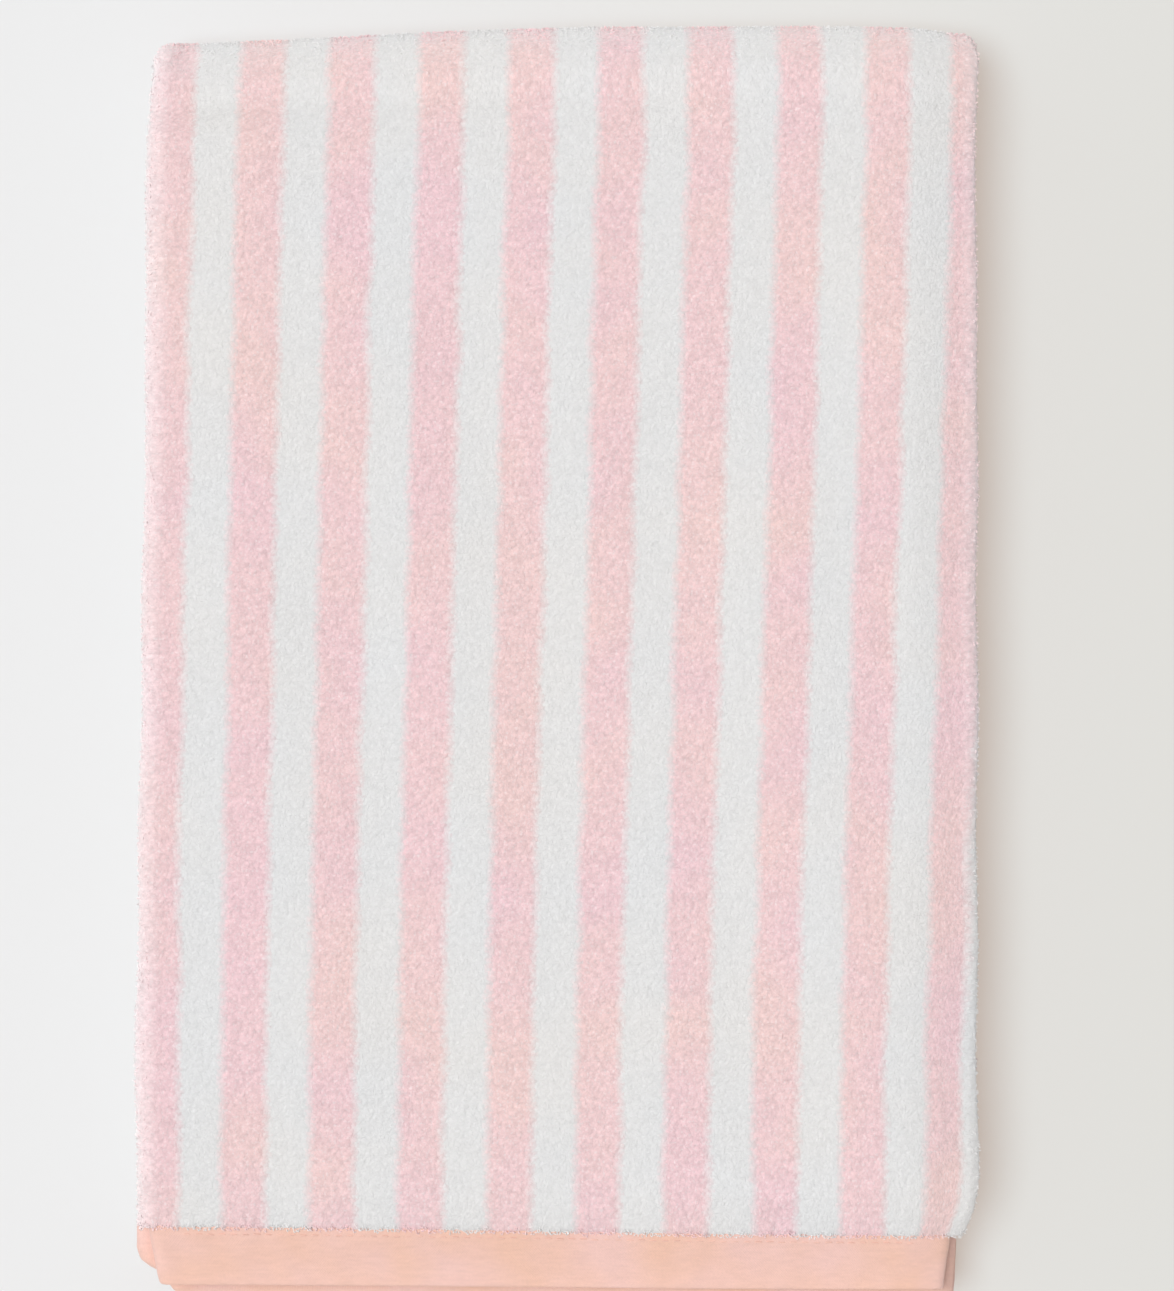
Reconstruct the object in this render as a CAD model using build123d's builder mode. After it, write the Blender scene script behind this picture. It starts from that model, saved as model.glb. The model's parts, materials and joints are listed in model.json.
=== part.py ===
from build123d import *
import os
from math import pi

# A bath towel, folded for the shelf.
# The cloth is folded in thirds across its width, then in half, then in half again.
# That leaves four leaves of three plies each. They are counted from the top: top, second, third, bottom.
# The top and second leaves end in the two woven hems, at -Y. They lift together about the back fold, at +Y.
# X runs across the stripes, Y along them, Z up. The origin is the middle of the underside. Units are mm.

# Driving dimensions
flat_width = 700.0        # finished width of the opened towel
flat_length = 1400.0      # finished length of the opened towel, hems included
ply_pitch = 3.5           # height that each ply takes in the stack
terry_thickness = 3.3     # ground weave with its loops on both sides
hem_width = 16.0          # along the towel
hem_thickness = 1.6       # plain weave turned over twice
hem_draw_in = 4.0         # the hem is woven tighter than the terry, so each fold edge of it lies this far in
selvedge_width = 6.0      # woven edge without loops, along both long sides
selvedge_thickness = 1.6
edge_tuck = 1.0           # the outer selvedge stops this far inside the folded edge
hem_stagger = 3.0         # the second leaf ends this much further out than the top leaf
front_fold_inset = 4.0    # the front fold stops this far inside the top leaf's end
leaf_gap = 0.4            # between the half that lifts and the half that lies still
back_clearance = 0.3      # between the leaves that lift and the cloth of the back fold
stitch_length = 2.4
stitch_pitch = 3.4
stitch_thread = 0.35      # height of the thread above the hem
stitch_width = 0.5
stitch_inset = 2.5        # from the terry's edge to the seam

# The folded sizes follow from the flat ones
leaf_thickness = 2 * ply_pitch + terry_thickness
half_height = 2 * leaf_thickness + (ply_pitch - terry_thickness) + leaf_gap / 2
stack_height = 2 * half_height
wide_radius = ply_pitch + terry_thickness / 2
narrow_radius = (ply_pitch + terry_thickness) / 2
side_arcs = pi * ply_pitch + pi * ply_pitch / 2
ply_flat = (flat_width - side_arcs - narrow_radius + edge_tuck) / 3
folded_width = ply_flat + wide_radius + narrow_radius

front_radius = leaf_thickness + (ply_pitch - terry_thickness) / 2
front_recess = front_fold_inset + front_radius
outer_back_arc = pi * (half_height - terry_thickness / 2)
inner_back_arc = pi * (leaf_gap / 2 + terry_thickness / 2)
front_arc = pi * (front_radius - terry_thickness / 2)
end_arcs = outer_back_arc + inner_back_arc + front_arc
leaf_length = (flat_length - end_arcs - hem_stagger + 2 * front_recess) / 4
folded_length = leaf_length + half_height + hem_stagger

# Places along Y
back_axis_y = folded_length / 2 - half_height
top_end_y = back_axis_y - leaf_length
second_end_y = top_end_y - hem_stagger
front_axis_y = top_end_y + front_recess

# Heights of the four leaves' smooth faces, and of the two fold axes
top_face_z = stack_height
second_face_z = half_height + leaf_gap / 2
third_face_z = half_height - leaf_gap / 2
bottom_face_z = 0.0
back_axis_z = half_height
front_axis_z = front_radius

back_axis = Axis((0, back_axis_y, back_axis_z), (-1, 0, 0))
front_axis = Axis((0, front_axis_y, front_axis_z), (1, 0, 0))


def smooth_side_up(y, z):
    """A section plane across a leaf whose middle third faces up. Local Y runs down into the leaf."""
    return Plane(origin=(0, y, z), x_dir=(1, 0, 0), z_dir=(0, 1, 0))


def smooth_side_down(y, z):
    """A section plane across a leaf whose middle third faces down. Local Y runs up into the leaf."""
    return Plane(origin=(0, y, z), x_dir=(1, 0, 0), z_dir=(0, -1, 0))


def ply_middle(ply):
    """Depth of a ply's middle below the leaf's smooth face, for ply 0, 1 or 2."""
    return ply * ply_pitch + terry_thickness / 2


def folded_section(width, thickness, second_edge, third_edge):
    """Cloth folded in thirds: the middle third outside, then the second and third plies inside it.

    The wide fold at -X goes round the second ply's edge, and the narrow fold at +X holds two plies.
    """
    half = thickness / 2
    first, second, third = (ply_middle(ply) for ply in range(3))
    wide_outer = (third - first) / 2 + half
    wide_inner = (third - first) / 2 - half
    narrow_outer = (second - first) / 2 + half
    narrow_inner = (second - first) / 2 - half
    wide_x = -width / 2 + wide_outer
    narrow_x = width / 2 - narrow_outer
    wide_middle = (first + third) / 2
    narrow_middle = (first + second) / 2
    with BuildLine() as outline:
        Line((narrow_x, first - half), (wide_x, first - half))
        ThreePointArc(
            (wide_x, first - half), (wide_x - wide_outer, wide_middle), (wide_x, third + half)
        )
        Polyline(
            (wide_x, third + half), (third_edge, third + half),
            (third_edge, third - half), (wide_x, third - half),
        )
        ThreePointArc(
            (wide_x, third - half), (wide_x - wide_inner, wide_middle), (wide_x, first + half)
        )
        Line((wide_x, first + half), (narrow_x, first + half))
        ThreePointArc(
            (narrow_x, first + half), (narrow_x + narrow_inner, narrow_middle), (narrow_x, second - half)
        )
        Polyline(
            (narrow_x, second - half), (second_edge, second - half),
            (second_edge, second + half), (narrow_x, second + half),
        )
        ThreePointArc(
            (narrow_x, second + half), (narrow_x + narrow_outer, narrow_middle), (narrow_x, first - half)
        )
    make_face(outline.edges())


# Where the cloth's two long edges lie
inner_edge_x = -folded_width / 2 + wide_radius
outer_edge_x = folded_width / 2 - edge_tuck
second_terry_edge = inner_edge_x + selvedge_width
third_terry_edge = outer_edge_x - selvedge_width

# The three pieces of every stretch of cloth: its terry, and the selvedge along each long edge
strip_names = ("terry", "inner_selvedge", "outer_selvedge")


def cloth_section(strip):
    """Draws the section of one strip in the open sketch."""
    if strip == "terry":
        folded_section(folded_width, terry_thickness, second_terry_edge, third_terry_edge)
    elif strip == "inner_selvedge":
        with Locations((inner_edge_x + selvedge_width / 2, ply_middle(1))):
            Rectangle(selvedge_width, selvedge_thickness)
    else:
        with Locations((outer_edge_x - selvedge_width / 2, ply_middle(2))):
            Rectangle(selvedge_width, selvedge_thickness)


def write(piece, name):
    piece.part.label = name
    export_step(piece.part, "parts/" + name + ".step")


def make_leaf(name, strip, section_plane, length):
    with BuildPart() as leaf:
        with BuildSketch(section_plane):
            cloth_section(strip)
        extrude(amount=length)
    write(leaf, name + "_" + strip)


def make_fold(name, strip, section_plane, axis):
    with BuildPart() as fold:
        with BuildSketch(section_plane):
            cloth_section(strip)
        revolve(axis=axis, revolution_arc=180)
    write(fold, name + "_" + strip)


def make_hem(name, section_plane):
    """The plain woven end of the towel, folded in thirds with it."""
    hem_fold_width = folded_width - 2 * hem_draw_in
    hem_wide_x = -hem_fold_width / 2 + ply_pitch + hem_thickness / 2
    with BuildPart() as hem:
        with BuildSketch(section_plane):
            folded_section(hem_fold_width, hem_thickness, hem_wide_x, outer_edge_x - hem_draw_in)
        extrude(amount=hem_width)
    write(hem, name)


def make_stitching(name, seam_y, hem_face_z, outward):
    """The seam that holds the hem, as a row of threads on the hem's outer third."""
    seam_span = folded_width - 2 * (hem_draw_in + wide_radius)
    stitch_count = int(seam_span / stitch_pitch)
    with BuildPart() as stitching:
        with Locations((0, seam_y, hem_face_z + outward * stitch_thread / 2)):
            with GridLocations(stitch_pitch, 1, stitch_count, 1):
                Box(stitch_length, stitch_width, stitch_thread)
    write(stitching, name)


os.makedirs("parts", exist_ok=True)

hem_face_depth = (terry_thickness - hem_thickness) / 2
top_terry_start = top_end_y + hem_width
second_terry_start = second_end_y + hem_width
lifting_start_y = back_axis_y - back_clearance

for strip in strip_names:
    # The half that lifts
    make_leaf("top_leaf", strip, smooth_side_up(top_terry_start, top_face_z),
              lifting_start_y - top_terry_start)
    make_leaf("second_leaf", strip, smooth_side_down(lifting_start_y, second_face_z),
              lifting_start_y - second_terry_start)
    # The half that lies still
    make_leaf("third_leaf", strip, smooth_side_up(front_axis_y, third_face_z),
              back_axis_y - front_axis_y)
    make_leaf("bottom_leaf", strip, smooth_side_down(back_axis_y, bottom_face_z),
              back_axis_y - front_axis_y)
    # The folds that join the leaves
    make_fold("front_fold", strip, smooth_side_up(front_axis_y, third_face_z), front_axis)
    make_fold("outer_back_fold", strip, smooth_side_up(back_axis_y, top_face_z), back_axis)
    make_fold("inner_back_fold", strip, smooth_side_down(back_axis_y, second_face_z), back_axis)

make_hem("top_hem", smooth_side_up(top_end_y, top_face_z))
make_hem("second_hem", smooth_side_down(second_terry_start, second_face_z))
make_stitching("top_hem_stitching", top_terry_start - stitch_inset, top_face_z - hem_face_depth, 1)
make_stitching("second_hem_stitching", second_terry_start - stitch_inset,
               second_face_z + hem_face_depth, -1)

print("folded size", folded_width, folded_length, stack_height)
print("back axis", back_axis_y, back_axis_z, "front axis", front_axis_y, front_axis_z)
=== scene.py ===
import json
import math

import bpy
import numpy as np
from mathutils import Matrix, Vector


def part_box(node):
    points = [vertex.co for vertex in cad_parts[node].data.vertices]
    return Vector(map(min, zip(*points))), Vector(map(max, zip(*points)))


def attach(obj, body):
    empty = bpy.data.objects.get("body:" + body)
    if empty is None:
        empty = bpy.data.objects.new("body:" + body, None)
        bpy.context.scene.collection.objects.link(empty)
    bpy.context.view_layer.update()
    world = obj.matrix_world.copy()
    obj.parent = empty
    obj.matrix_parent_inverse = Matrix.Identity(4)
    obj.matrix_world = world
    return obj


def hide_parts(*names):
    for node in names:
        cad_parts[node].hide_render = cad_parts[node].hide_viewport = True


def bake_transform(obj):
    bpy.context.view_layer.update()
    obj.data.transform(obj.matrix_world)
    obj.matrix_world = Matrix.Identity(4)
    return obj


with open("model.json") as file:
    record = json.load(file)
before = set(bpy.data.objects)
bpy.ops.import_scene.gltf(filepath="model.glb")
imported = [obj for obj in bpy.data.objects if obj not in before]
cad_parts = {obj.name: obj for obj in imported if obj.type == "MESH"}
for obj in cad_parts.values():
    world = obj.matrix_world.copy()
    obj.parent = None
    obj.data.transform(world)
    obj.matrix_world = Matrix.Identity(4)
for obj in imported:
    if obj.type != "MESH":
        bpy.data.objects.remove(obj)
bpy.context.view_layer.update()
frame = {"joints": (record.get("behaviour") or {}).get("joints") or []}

# A bath towel, folded in thirds across and in half twice along, with its hems at -Y.
# Every stretch of cloth is one surface over (u, v), in metres on the flat towel:
# u runs across its width, from the selvedge inside the side fold to the one at the right,
# and v runs along its length, from the top hem's end to the second hem's end.

MM = 0.001
X, Y, Z = 0, 1, 2

# ------------ sizes, from the frame


def span(name, axis):
    low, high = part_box(name)
    return low[axis], high[axis]


left_x, right_x = span("top_leaf_terry", X)
folded_width = right_x - left_x
stack_height = span("outer_back_fold_terry", Z)[1]
leaf_thickness = np.ptp(span("top_leaf_terry", Z))
third_ply_depth = stack_height - sum(span("top_leaf_outer_selvedge", Z)) / 2
terry_thickness = 2 * (leaf_thickness - third_ply_depth)
ply_pitch = (leaf_thickness - terry_thickness) / 2
selvedge_width = np.ptp(span("top_leaf_inner_selvedge", X))
selvedge_thickness = np.ptp(span("top_leaf_inner_selvedge", Z))
outer_edge_x = span("top_leaf_outer_selvedge", X)[1]
hem_thickness = np.ptp(span("top_hem", Z)) - 2 * ply_pitch

back_joint = frame["joints"][0]
back_axis_y, back_axis_z = back_joint["pos_m"][1:]
front_axis_y = span("front_fold_terry", Y)[1]
front_axis_z = sum(span("front_fold_terry", Z)) / 2
top_end_y, top_terry_y = span("top_hem", Y)
second_end_y, second_terry_y = span("second_hem", Y)
hem_width = top_terry_y - top_end_y
second_face_z = span("second_leaf_terry", Z)[0]
third_face_z = span("third_leaf_terry", Z)[1]

# The folded section: ply 2, narrow fold, ply 1 (the smooth face), wide fold, ply 3
wide_x = left_x + ply_pitch + terry_thickness / 2
narrow_x = right_x - (ply_pitch + terry_thickness) / 2
ply_flat = narrow_x - wide_x
narrow_arc = math.pi * ply_pitch / 2
wide_arc = math.pi * ply_pitch
section_parts = (ply_flat, narrow_arc, ply_flat, wide_arc, outer_edge_x - wide_x)
section_breaks = np.concatenate([[0.0], np.cumsum(section_parts)])
flat_width = section_breaks[-1]
narrow_top = section_breaks[1] + narrow_arc / 2
wide_top = section_breaks[3] + wide_arc / 2

# Where each stretch starts along the towel
outer_turn = math.pi * (stack_height / 2 - terry_thickness / 2)
inner_turn = math.pi * ((second_face_z - third_face_z) / 2 + terry_thickness / 2)
front_turn = math.pi * (front_axis_z - terry_thickness / 2)
lying_run = back_axis_y - front_axis_y
v_top_terry = hem_width
v_outer_turn = back_axis_y - top_end_y
v_bottom = v_outer_turn + outer_turn
v_front_turn = v_bottom + lying_run
v_third = v_front_turn + front_turn
v_inner_turn = v_third + lying_run
v_second = v_inner_turn + inner_turn
v_second_hem = v_second + back_axis_y - second_terry_y
flat_length = v_second_hem + hem_width

# ------------ how the cloth really lies
stripe_width = 12.5 * MM
loop_pitch_u, loop_pitch_v = 1.25 * MM, 1.35 * MM
relief_height = 0.2 * MM
coarse_step = 6 * MM

# Stations along the towel, and what changes there: how far the left and right edges lie from the
# neat outline, and how much wider the stripes are than their own width, where the cloth is stretched
stations = np.array([
    v_top_terry, v_outer_turn, v_bottom, v_front_turn, v_third, v_inner_turn, v_second, v_second_hem])
left_shifts = np.array([-1.7, 1.9, 1.7, 0.2, 0.0, 1.9, 1.9, -0.1]) * MM
right_shifts = np.array([0.8, 1.1, 0.9, 0.6, 0.9, 0.2, 0.2, 1.3]) * MM
stripe_spread = np.array([0.9885, 1.0176, 1.0176, 0.995, 0.995, 1.01, 1.01, 0.99])

# How far each part of the stack has settled. Shares are of the width, from the left
edge_share = 0.09                       # the strip at each side that thins or draws in
side_ripple, side_ripple_length = 0.5 * MM, 120 * MM
lean, lean_reach = 2.7 * MM, 20 * MM
hem_end_margin, hem_end_reach = 3 * MM, 16 * MM
front_corner_y, front_corner_reach = -153.5 * MM, 11 * MM
front_corner_pull, front_corner_share = 8 * MM, 0.2
back_corner_pull, back_corner_start, back_corner_reach = 0.8 * MM, 30 * MM, 44 * MM
left_pull, left_pull_share, right_pull, corner_relief = 4.6 * MM, 0.56, 2.0 * MM, 0.3 * MM
bulge, bulge_ripple, bulge_ripple_length, bulge_reach = 2.1 * MM, 0.25 * MM, 90 * MM, 9 * MM
still_radius_at_axis, loose_reach = 4 * MM, 13 * MM
pull_start, pull_reach = 12 * MM, 22 * MM
pinch_x, pinch_y, pinch_width, pinch_length = -105.5 * MM, 170 * MM, 3.8 * MM, 4 * MM
pinch_in, pinch_down = 0.8 * MM, 1.4 * MM
top_ripple, top_ripple_length = 0.55 * MM, 110 * MM
top_ripple_end, top_ripple_reach = 6 * MM, 30 * MM
side_sag, right_edge_sag = 1.1 * MM, 3.2 * MM
hem_sag_start, hem_sag_reach = 9 * MM, 27 * MM
hem_sag_slope, hem_sag, hem_sag_depth = 0.27, 1.6 * MM, 4 * MM


def smooth(value):
    value = np.clip(value, 0.0, 1.0)
    return value * value * (3 - 2 * value)


def rises(value, start, reach):
    """0 up to start, then smoothly to 1 at start + reach."""
    return smooth((value - start) / reach)


def falls(value, end, reach):
    """1 up to end - reach, then smoothly to 0 at end."""
    return smooth((end - value) / reach)


def at_station(v, values):
    """Smooth steps from one station's value to the next."""
    place = np.clip(np.searchsorted(stations, v, side="right") - 1, 0, len(stations) - 2)
    share = smooth((v - stations[place]) / (stations[place + 1] - stations[place]))
    return values[place] + (values[place + 1] - values[place]) * share


def ripples(a, b, longest, seed, count=7):
    """A smooth field of about -1 to 1: crossing waves, the shortest a third as long as the longest."""
    waves = np.random.default_rng(seed)
    total = np.zeros_like(a)
    for _ in range(count):
        heading = waves.uniform(0, math.pi)
        length = longest * waves.uniform(0.35, 1.0)
        phase = waves.uniform(0, 2 * math.pi)
        along = a * math.cos(heading) + b * math.sin(heading)
        total += np.sin(2 * math.pi * along / length + phase)
    return total / math.sqrt(count) / 1.4


def settle(points, v):
    """Moves neat points to where the soft towel lies: skewed edges, sunken corners, hems that sag."""
    x, y, z = points[:, X].copy(), points[:, Y].copy(), points[:, Z].copy()
    share = (x - left_x) / folded_width
    from_middle = 2 * np.abs(share - 0.5)
    left_edge = falls(share, edge_share, edge_share)
    right_edge = rises(share, 1 - edge_share, edge_share)
    x += (1 - share) * at_station(v, left_shifts)
    x += share * at_station(v, right_shifts)
    x += side_ripple * ripples(y, z * 4, side_ripple_length, 3) * from_middle ** 3
    # The upper half's terry and hems end lower at the right than at the left
    lower = z < (second_face_z + third_face_z) / 2
    leaning = falls(y, top_terry_y + lean_reach, lean_reach)
    leaning *= 0.5 + 0.5 * rises(y, top_end_y - hem_end_margin, hem_end_reach)
    y -= lean * smooth(share) * leaning * ~lower
    # The lower half's front fold is drawn in at its right corner
    at_front_corner = rises(share, 1 - front_corner_share, front_corner_share) * lower
    x -= front_corner_pull * falls(y, front_corner_y, front_corner_reach) * at_front_corner
    # The back fold is pulled in at its two corners and bulges out behind its axis, but the faces that
    # meet at the axis stay, and no flat part crosses it, so that the towel opens flat
    x += back_corner_pull * left_edge * rises(y, back_axis_y - back_corner_start, back_corner_reach)
    pulled = left_pull * falls(share, left_pull_share, left_pull_share)
    pulled += right_pull * right_edge - corner_relief * left_edge
    bulging = bulge + bulge_ripple * ripples(x, z, bulge_ripple_length, 5)
    behind = y - back_axis_y
    from_axis = np.hypot(np.maximum(behind, 0), z - back_axis_z)
    loose = rises(from_axis, still_radius_at_axis, loose_reach)
    y -= pulled * loose * rises(behind, -pull_start, pull_reach)
    y += bulging * loose * rises(behind, 0, bulge_reach)
    pinch = np.exp(-((x - pinch_x) / pinch_width) ** 2 - ((y - pinch_y) / pinch_length) ** 2)
    pinch *= z > back_axis_z
    y -= pinch_in * pinch
    z -= pinch_down * pinch
    # The stack is a little uneven, and its lifting half thins at the sides and over the hems
    near_back = falls(y, back_axis_y - top_ripple_end, top_ripple_reach)
    z += top_ripple * ripples(x, y, top_ripple_length, 11) * z / stack_height * near_back
    upper_level = np.maximum(z - back_axis_z, 0) / (stack_height - back_axis_z)
    z -= upper_level * (side_sag * from_middle ** 8 + right_edge_sag * right_edge)
    over_hem = falls(y, top_terry_y + hem_sag_start, hem_sag_reach)
    upper = np.maximum(z - third_face_z, 0)
    z -= upper * hem_sag_slope * over_hem
    z -= np.minimum(upper / hem_sag_depth, 1) * hem_sag * over_hem ** 2
    return np.stack([x, y, z], axis=1)


def section(u):
    """The folded cloth's middle line at u: x, depth below the smooth face, and which way is out."""
    depths = [terry_thickness / 2 + ply * ply_pitch for ply in range(3)]
    part = np.clip(np.searchsorted(section_breaks, u, side="right") - 1, 0, 4)
    run = u - section_breaks[part]
    narrow = math.pi * np.clip(run / narrow_arc, 0, 1)
    wide = math.pi * np.clip(run / wide_arc, 0, 1)
    narrow_radius, wide_radius = ply_pitch / 2, ply_pitch
    cases = [part == k for k in range(5)]
    zero, one = np.zeros_like(u), np.ones_like(u)
    x = np.select(cases, [
        wide_x + run, narrow_x + narrow_radius * np.sin(narrow), narrow_x - run,
        wide_x - wide_radius * np.sin(wide), wide_x + run])
    depth = np.select(cases, [
        depths[1] * one, depths[0] + narrow_radius + narrow_radius * np.cos(narrow), depths[0] * one,
        depths[1] - wide_radius * np.cos(wide), depths[2] * one])
    out_x = np.select(cases, [zero, np.sin(narrow), zero, -np.sin(wide), zero])
    out_depth = np.select(cases, [one, np.cos(narrow), -one, -np.cos(wide), one])
    return x, depth, out_x, out_depth


# The terry is drawn in at its right corner beside a hem, and overlaps the hem by a ragged edge
hem_corner_pull, hem_corner_reach, hem_corner_share = 4.2 * MM, 16 * MM, 0.1
hem_overlap, hem_overlap_ripple, hem_overlap_reach = 0.6, 0.3, 3 * MM
hem_overlap_ripple_length = 4.5 * MM
hem_loops_reach = 2 * MM
# The inner back fold is tucked in at its sides
tuck, tuck_full, tuck_reach = 5.4 * MM, 5 * MM, 13 * MM


class Flat:
    """A straight stretch from v_start at y_start to v_end at y_end. facing is 1 where its smooth face
    looks up. outline gives its left and right x at shares of its length. Terry that ends in a hem
    gives the hem's place as hem_v."""

    def __init__(self, v_start, v_end, y_start, y_end, face_z, facing, outline=None, hem_v=None):
        self.v_start, self.v_end = v_start, v_end
        self.y_start, self.y_end, self.face_z, self.facing = y_start, y_end, face_z, facing
        self.outline, self.hem_v = outline, hem_v
        self.length = abs(y_end - y_start)

    def cloth_length(self, depth):
        return np.full_like(depth, self.length)

    def freedom(self, v):
        """How far the loops stand up at the stretch's end beside a hem."""
        to_hem = np.minimum(np.abs(v - v_top_terry), np.abs(v - v_second_hem))
        return 1 - smooth(to_hem / hem_loops_reach)

    def place(self, x, depth, v):
        share = (v - self.v_start) / (self.v_end - self.v_start)
        if self.outline:
            where, lefts, rights = self.outline
            low, high = np.interp(share, where, lefts), np.interp(share, where, rights)
            x = low + (x - left_x) / folded_width * (high - low)
        y = self.y_start + (self.y_end - self.y_start) * share
        if self.hem_v is not None:
            to_hem = np.abs(v - self.hem_v)
            across = (x - left_x) / folded_width
            at_corner = (1 - np.clip(to_hem / hem_corner_reach, 0, 1)) ** 2.1
            x = x - hem_corner_pull * at_corner * rises(across, 1 - hem_corner_share, hem_corner_share)
            ragged = hem_overlap + hem_overlap_ripple * ripples(x, depth, hem_overlap_ripple_length, 29)
            y -= ragged * MM * (1 - smooth(to_hem / hem_overlap_reach))
        return np.stack([x, y, self.face_z - self.facing * depth], axis=1)


class Turn:
    """A half turn about an axis along X. side is 1 at the back, downward is 1 where v runs from top to
    bottom, and outward is 1 where the smooth face is outermost."""
    hem_v = None

    def __init__(self, v_start, v_end, axis_y, axis_z, face_radius, side, downward, outward):
        self.v_start, self.v_end = v_start, v_end
        self.axis_y, self.axis_z, self.face_radius = axis_y, axis_z, face_radius
        self.side, self.downward, self.outward = side, downward, outward
        self.length = math.pi * max(face_radius, leaf_thickness / 2)

    def cloth_length(self, depth):
        return math.pi * (self.face_radius - self.outward * depth)

    def freedom(self, v):
        """How far the loops stand up: most of all half way round the turn."""
        share = (v - self.v_start) / (self.v_end - self.v_start)
        return np.sin(math.pi * share) ** 3

    def place(self, x, depth, v):
        share = (v - self.v_start) / (self.v_end - self.v_start)
        angle = math.pi * (share if self.downward > 0 else 1 - share)
        radius = self.face_radius - self.outward * depth
        y = self.axis_y + self.side * radius * np.sin(angle)
        z = self.axis_z + radius * np.cos(angle)
        if self.outward < 0:
            # The inner fold's sides then stay inside the leaves' rounded sides when the towel opens
            from_side = np.minimum(x - left_x, right_x - x)
            tucked = tuck * np.sin(angle) ** 2 * (1 - rises(from_side, tuck_full, tuck_reach))
            x = x + tucked * np.sign((left_x + right_x) / 2 - x)
        return np.stack([x, y, z], axis=1)


# How far the second leaf's terry ends short of, and the hems' ends lie beyond, their neat places
terry_slip, hem_slip = 2.2 * MM, 1.4 * MM
stretches = {
    "top_leaf": Flat(v_top_terry, v_outer_turn, top_terry_y, back_axis_y,
                     stack_height, 1, None, v_top_terry),
    "outer_back_fold": Turn(v_outer_turn, v_bottom, back_axis_y, back_axis_z,
                            stack_height / 2, 1, 1, 1),
    "bottom_leaf": Flat(v_bottom, v_front_turn, back_axis_y, front_axis_y, 0.0, -1),
    "front_fold": Turn(v_front_turn, v_third, front_axis_y, front_axis_z, front_axis_z, -1, -1, 1),
    "third_leaf": Flat(v_third, v_inner_turn, front_axis_y, back_axis_y, third_face_z, 1),
    "inner_back_fold": Turn(v_inner_turn, v_second, back_axis_y, back_axis_z,
                            back_axis_z - third_face_z, 1, -1, -1),
    "second_leaf": Flat(v_second, v_second_hem, back_axis_y, second_terry_y + terry_slip,
                        second_face_z, -1, None, v_second_hem),
}
# The top hem narrows towards its end. The second one bulges out at the left, where its corner is
# turned in
top_outline = ((0, 1), (-112.1 * MM, -115.5 * MM), (109.6 * MM, 111.0 * MM))
second_outline = ((0, 0.35, 0.52, 0.62, 0.72, 1),
                  (-120.4 * MM, -120.5 * MM, -119.4 * MM, -117.0 * MM, -113.5 * MM, -110 * MM),
                  (113.2 * MM, 113.1 * MM, 112.9 * MM, 112.8 * MM, 112.7 * MM, 112.3 * MM))
hems = {
    "top_hem": Flat(0.0, v_top_terry, top_end_y - hem_slip, top_terry_y, stack_height, 1, top_outline),
    "second_hem": Flat(v_second_hem, flat_length, second_terry_y + terry_slip, second_end_y - hem_slip,
                       second_face_z, -1, second_outline),
}


def laid(stretch, u, v, height):
    """Points at a height over the cloth's middle line, outward where the height is positive."""
    x, depth, out_x, out_depth = section(u)
    points = settle(stretch.place(x + out_x * height, depth + out_depth * height, v), v)
    points[:, Z] = np.maximum(points[:, Z], 0)
    return points


# Where the stripes lie: how far they are moved at the narrow fold's side, and over what width
stripe_start = 0.4 * MM
last_stripes_shift, last_stripes_width = 1.4 * MM, 45 * MM
last_stripe_shift, last_stripe_width, last_stripe_length = 2.8 * MM, 9 * MM, 250 * MM
back_shift, back_shift_length = 1.1 * MM, 60 * MM


def on_cloth(u, v):
    """Where (u, v) lies on the woven cloth: the stripes spread where it is stretched."""
    fold_u = section_breaks[2]
    across = fold_u + (narrow_x - left_x) + stripe_start - u
    # The last stripes before the narrow fold are tighter, the last one most towards the top hem
    tight = 1 - rises(v, v_top_terry, last_stripe_length)
    across = across + last_stripes_shift * falls(u, fold_u + last_stripes_width, last_stripes_width)
    across = across + (last_stripe_shift * tight
                       * falls(u, fold_u + last_stripe_width, last_stripe_width))
    across = across - back_shift * rises(v, v_outer_turn - back_shift_length, back_shift_length)
    return np.stack([across / at_station(v, stripe_spread), v], axis=1)


# ------------ the pile
packed_loop_length, packed_loop_width = 1.15 * MM, 0.72 * MM


def scatter(i, j, salt):
    """A repeatable random number from 0 to 1 for each cell (i, j), another for each salt."""
    mixed = (i.astype(np.int64) * 73856093) ^ (j.astype(np.int64) * 19349663) ^ (salt * 83492791)
    mixed = (mixed ^ (mixed >> 13)) * 1274126177
    mixed = (mixed ^ (mixed >> 16)) & 0xFFFFFF
    return mixed / float(0x1000000)


def loop_centre(i, j):
    u = (i + 0.5 * (j % 2) + 0.75 * (scatter(i, j, 1) - 0.5)) * loop_pitch_u
    v = (j + 0.75 * (scatter(i, j, 2) - 0.5)) * loop_pitch_v
    return u, v


def pile(u, v):
    """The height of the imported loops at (u, v), from 0 to 1, and the tint of the loop found there."""
    base_i = np.floor(u / loop_pitch_u).astype(np.int64)
    base_j = np.round(v / loop_pitch_v).astype(np.int64)
    height, tint = np.zeros_like(u), np.zeros_like(u)
    for dj in (-1, 0, 1):
        for di in (-1, 0, 1):
            i, j = base_i + di, base_j + dj
            centre_u, centre_v = loop_centre(i, j)
            turn = scatter(i, j, 3) * math.pi
            du, dv = u - centre_u, v - centre_v
            along = du * np.cos(turn) + dv * np.sin(turn)
            across = -du * np.sin(turn) + dv * np.cos(turn)
            reach = (along / packed_loop_length) ** 2 + (across / packed_loop_width) ** 2
            top = (0.62 + 0.38 * scatter(i, j, 4)) * np.sqrt(np.clip(1 - reach, 0, 1))
            tint = np.where(top > height, scatter(i, j, 5), tint)
            height = np.maximum(height, top)
    return height, tint


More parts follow.
